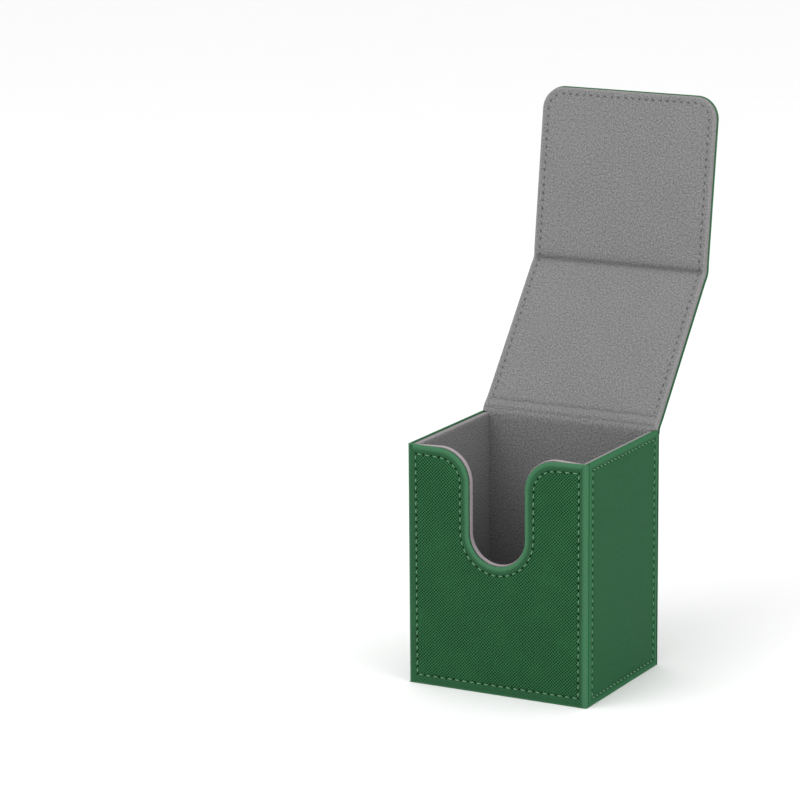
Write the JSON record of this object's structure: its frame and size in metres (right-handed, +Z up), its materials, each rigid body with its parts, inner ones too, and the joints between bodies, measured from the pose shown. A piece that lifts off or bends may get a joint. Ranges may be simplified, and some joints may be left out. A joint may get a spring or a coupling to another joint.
{
  "type": "card deck box",
  "caption": "Flip-top deck box for sleeved trading cards: leather-covered board walls, thumb cut-out, hinged lid and magnetic flap",
  "frame": {"origin": "centre of the base on the ground: midway between the side walls and between the front and back walls, on the face that the box stands on", "axes": "+Z up; -Y to the front, where the thumb cut-out is; +X to the right as seen from the front, along both bending axes"},
  "size_m": [0.0824, 0.1273, 0.2337],
  "materials": {
    "leather": "satin",
    "lining": "matte",
    "board": "matte",
    "thread": "matte",
    "magnet": "satin"
  },
  "bodies": {
    "box": {"base_leather": "leather", "front_leather": "leather", "left_leather": "leather", "right_leather": "leather", "back_leather": "leather", "base_board": "board", "front_board": "board", "left_board": "board", "right_board": "board", "back_board": "board", "base_lining": "lining", "front_lining": "lining", "left_lining": "lining", "right_lining": "lining", "back_lining": "lining", "front_magnets": "magnet", "front_stitching": "thread", "left_stitching": "thread", "right_stitching": "thread", "back_stitching": "thread"},
    "lid_top": {"rear_hinge_leather": "leather", "rear_hinge_lining": "lining", "lid_leather": "leather", "lid_board": "board", "lid_lining": "lining", "lid_stitching": "thread"},
    "lid_flap": {"fold_leather": "leather", "fold_lining": "lining", "flap_leather": "leather", "flap_board": "board", "flap_lining": "lining", "flap_magnets": "magnet", "flap_stitching": "thread"}
  },
  "joints": [
    {"name": "lid_hinge", "type": "hinge", "parent": "box", "child": "lid_top", "pos_m": [0, 0.0345, 0.104], "axis": [1, 0, 0], "range_deg": [-90, 129.5], "deforming": ["rear_hinge_leather", "rear_hinge_lining"]},
    {"name": "flap_fold", "type": "hinge", "parent": "lid_top", "child": "lid_flap", "pos_m": [0, 0.08049, 0.15979], "axis": [1, 0, 0], "range_deg": [-31.5, 58.5], "deforming": ["fold_leather", "fold_lining"]}
  ]
}
